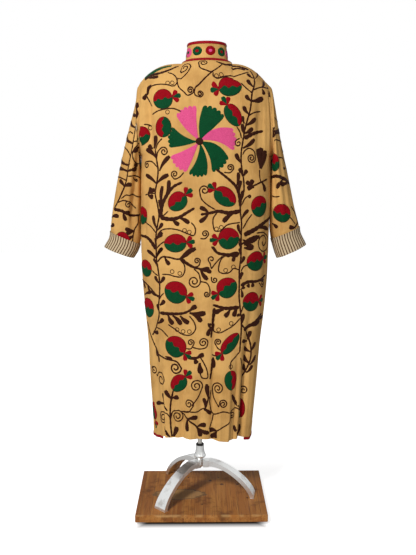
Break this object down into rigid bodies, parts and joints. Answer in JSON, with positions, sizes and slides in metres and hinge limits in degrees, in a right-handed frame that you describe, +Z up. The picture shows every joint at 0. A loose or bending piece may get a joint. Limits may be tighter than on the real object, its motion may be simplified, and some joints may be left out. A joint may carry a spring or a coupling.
{
  "type": "embroidered chapan robe on a dress form stand",
  "caption": "Long open-fronted robe with stand collar and turned-back cuffs, worn by a limbless dress form on a pole, hub, three arched legs and a wooden board.",
  "frame": {"origin": "middle of the footprint, on the surface that the board's two cleats stand on", "axes": "+Z up, the robe's open front faces -Y and its back +Y, the wearer's left is +X"},
  "size_m": [0.6759, 0.347, 1.5429],
  "materials": {
    "cloth": "handwoven cotton in warm straw yellow, matte",
    "binding": "woven crimson edge binding",
    "lining": "cream cotton with fine brown stripes",
    "form": "natural linen cover over a moulded torso",
    "steel": "brushed tube, slightly dulled",
    "rubber": "black, satin",
    "aluminium": "cast and brushed, soft highlights",
    "point": "rust-brown screw point",
    "wood": "oiled butcher-block blocks with knots and a worn patch"
  },
  "bodies": {
    "root": {"back": "cloth", "front_left": "cloth", "front_right": "cloth", "sleeve_left": "cloth", "sleeve_right": "cloth", "collar": "cloth", "binding_collar": "binding", "binding_neck": "binding", "binding_front_left": "binding", "binding_front_right": "binding", "binding_hem_left": "binding", "binding_hem_right": "binding", "cuff_left": "lining", "cuff_right": "lining", "dress_form": "form", "pole": "steel", "bushing": "rubber", "hub": "aluminium", "hub_point": "point", "leg_left": "aluminium", "leg_right": "aluminium", "leg_front": "aluminium", "board": "wood", "cleat_left": "wood", "cleat_right": "wood"}
  },
  "joints": []
}
